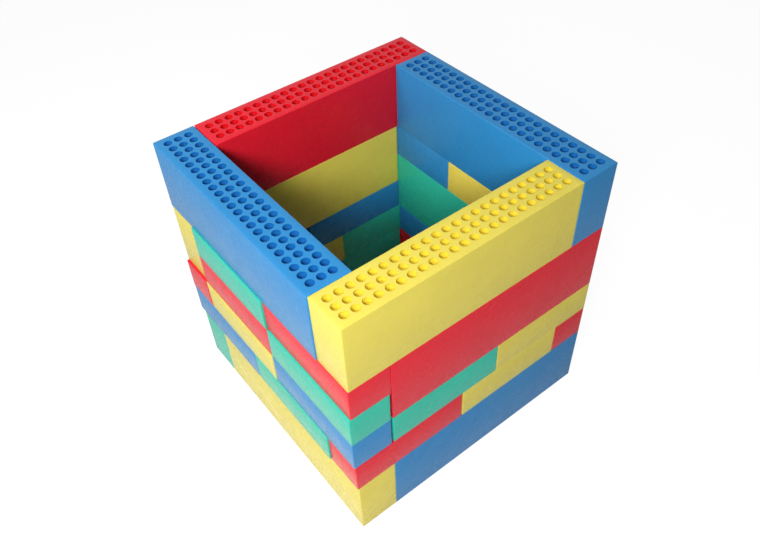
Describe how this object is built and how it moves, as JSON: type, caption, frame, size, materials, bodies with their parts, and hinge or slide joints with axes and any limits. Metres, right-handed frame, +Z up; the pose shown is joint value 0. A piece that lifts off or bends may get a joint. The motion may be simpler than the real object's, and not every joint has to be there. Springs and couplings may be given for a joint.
{
  "type": "foam brick tower",
  "caption": "Square open tower of loose foam bricks in blue, red, yellow and green, with rows of round dimples along the top; bricks lift off or pull out.",
  "frame": {"origin": "centre of the tower's square footprint, on the ground under the base bricks", "axes": "+Z up; the front wall, with the yellow top brick, faces -Y, and +X runs to the right along it"},
  "size_m": [0.3534, 0.35, 0.3558],
  "materials": {
    "foam_blue": "matte",
    "foam_red": "matte",
    "foam_yellow": "matte",
    "foam_green": "matte"
  },
  "bodies": {
    "base_ring": {"long_brick_row1_back_green": "foam_green", "long_brick_row1_front_blue": "foam_blue", "long_brick_row1_left_yellow": "foam_yellow", "long_brick_row1_right_red": "foam_red"},
    "row4_right_brick": {"long_brick_row4_right_green": "foam_green"},
    "row5_back_brick": {"long_brick_row5_back_yellow": "foam_yellow"},
    "row5_front_brick": {"long_brick_row5_front_red": "foam_red"},
    "row7_back_brick": {"long_brick_row7_back_red": "foam_red"},
    "row7_front_brick": {"long_brick_row7_front_yellow": "foam_yellow"},
    "row7_left_brick": {"long_brick_row7_left_blue": "foam_blue"},
    "row7_right_brick": {"long_brick_row7_right_blue": "foam_blue"},
    "row3_back_left_brick": {"short_brick_row3_back_left_green": "foam_green"},
    "row3_back_right_brick": {"short_brick_row3_back_right_yellow": "foam_yellow"},
    "row3_front_left_brick": {"short_brick_row3_front_left_red": "foam_red"},
    "row3_front_right_brick": {"short_brick_row3_front_right_yellow": "foam_yellow"},
    "row3_left_left_brick": {"short_brick_row3_left_left_blue": "foam_blue"},
    "row3_left_right_brick": {"short_brick_row3_left_right_green": "foam_green"},
    "row3_right_left_brick": {"short_brick_row3_right_left_red": "foam_red"},
    "row3_right_right_brick": {"short_brick_row3_right_right_blue": "foam_blue"},
    "row4_back_left_brick": {"short_brick_row4_back_left_blue": "foam_blue"},
    "row4_back_right_brick": {"short_brick_row4_back_right_red": "foam_red"},
    "row4_front_left_brick": {"short_brick_row4_front_left_green": "foam_green"},
    "row4_front_right_brick": {"short_brick_row4_front_right_yellow": "foam_yellow"},
    "row4_left_left_brick": {"short_brick_row4_left_left_yellow": "foam_yellow"},
    "row4_left_right_brick": {"short_brick_row4_left_right_blue": "foam_blue"},
    "row5_left_left_brick": {"short_brick_row5_left_left_red": "foam_red"},
    "row5_left_right_brick": {"short_brick_row5_left_right_green": "foam_green"},
    "row6_left_left_brick": {"short_brick_row6_left_left_green": "foam_green"},
    "row6_left_right_brick": {"short_brick_row6_left_right_red": "foam_red"},
    "row6_right_left_brick": {"short_brick_row6_right_left_yellow": "foam_yellow"},
    "row6_right_right_brick": {"short_brick_row6_right_right_blue": "foam_blue"}
  },
  "joints": [
    {"name": "pull_row4_right", "type": "slide", "parent": "base_ring", "child": "row4_right_brick", "axis": [1, 0, 0], "range_m": [0, 0.08]},
    {"name": "pull_row5_back", "type": "slide", "parent": "base_ring", "child": "row5_back_brick", "axis": [0, 1, 0], "range_m": [0, 0.08]},
    {"name": "pull_row5_front", "type": "slide", "parent": "base_ring", "child": "row5_front_brick", "axis": [0, -1, 0], "range_m": [0, 0.08]},
    {"name": "lift_row7_back", "type": "slide", "parent": "base_ring", "child": "row7_back_brick", "axis": [0, 0, 1], "range_m": [0, 0.12]},
    {"name": "lift_row7_front", "type": "slide", "parent": "base_ring", "child": "row7_front_brick", "axis": [0, 0, 1], "range_m": [0, 0.12]},
    {"name": "lift_row7_left", "type": "slide", "parent": "base_ring", "child": "row7_left_brick", "axis": [0, 0, 1], "range_m": [0, 0.12]},
    {"name": "lift_row7_right", "type": "slide", "parent": "base_ring", "child": "row7_right_brick", "axis": [0, 0, 1], "range_m": [0, 0.12]},
    {"name": "pull_row3_back_left", "type": "slide", "parent": "base_ring", "child": "row3_back_left_brick", "axis": [0, 1, 0], "range_m": [0, 0.08]},
    {"name": "pull_row3_back_right", "type": "slide", "parent": "base_ring", "child": "row3_back_right_brick", "axis": [0, 1, 0], "range_m": [0, 0.08]},
    {"name": "pull_row3_front_left", "type": "slide", "parent": "base_ring", "child": "row3_front_left_brick", "axis": [0, -1, 0], "range_m": [0, 0.08]},
    {"name": "pull_row3_front_right", "type": "slide", "parent": "base_ring", "child": "row3_front_right_brick", "axis": [0, -1, 0], "range_m": [0, 0.08]},
    {"name": "pull_row3_left_left", "type": "slide", "parent": "base_ring", "child": "row3_left_left_brick", "axis": [-1, 0, 0], "range_m": [0, 0.08]},
    {"name": "pull_row3_left_right", "type": "slide", "parent": "base_ring", "child": "row3_left_right_brick", "axis": [-1, 0, 0], "range_m": [0, 0.08]},
    {"name": "pull_row3_right_left", "type": "slide", "parent": "base_ring", "child": "row3_right_left_brick", "axis": [1, 0, 0], "range_m": [0, 0.08]},
    {"name": "pull_row3_right_right", "type": "slide", "parent": "base_ring", "child": "row3_right_right_brick", "axis": [1, 0, 0], "range_m": [0, 0.08]},
    {"name": "pull_row4_back_left", "type": "slide", "parent": "base_ring", "child": "row4_back_left_brick", "axis": [0, 1, 0], "range_m": [0, 0.08]},
    {"name": "pull_row4_back_right", "type": "slide", "parent": "base_ring", "child": "row4_back_right_brick", "axis": [0, 1, 0], "range_m": [0, 0.08]},
    {"name": "pull_row4_front_left", "type": "slide", "parent": "base_ring", "child": "row4_front_left_brick", "axis": [0, -1, 0], "range_m": [0, 0.08]},
    {"name": "pull_row4_front_right", "type": "slide", "parent": "base_ring", "child": "row4_front_right_brick", "axis": [0, -1, 0], "range_m": [0, 0.08]},
    {"name": "pull_row4_left_left", "type": "slide", "parent": "base_ring", "child": "row4_left_left_brick", "axis": [-1, 0, 0], "range_m": [0, 0.08]},
    {"name": "pull_row4_left_right", "type": "slide", "parent": "base_ring", "child": "row4_left_right_brick", "axis": [-1, 0, 0], "range_m": [0, 0.08]},
    {"name": "pull_row5_left_left", "type": "slide", "parent": "base_ring", "child": "row5_left_left_brick", "axis": [-1, 0, 0], "range_m": [0, 0.08]},
    {"name": "pull_row5_left_right", "type": "slide", "parent": "base_ring", "child": "row5_left_right_brick", "axis": [-1, 0, 0], "range_m": [0, 0.08]},
    {"name": "pull_row6_left_left", "type": "slide", "parent": "base_ring", "child": "row6_left_left_brick", "axis": [-1, 0, 0], "range_m": [0, 0.08]},
    {"name": "pull_row6_left_right", "type": "slide", "parent": "base_ring", "child": "row6_left_right_brick", "axis": [-1, 0, 0], "range_m": [0, 0.08]},
    {"name": "pull_row6_right_left", "type": "slide", "parent": "base_ring", "child": "row6_right_left_brick", "axis": [1, 0, 0], "range_m": [0, 0.08]},
    {"name": "pull_row6_right_right", "type": "slide", "parent": "base_ring", "child": "row6_right_right_brick", "axis": [1, 0, 0], "range_m": [0, 0.08]}
  ]
}
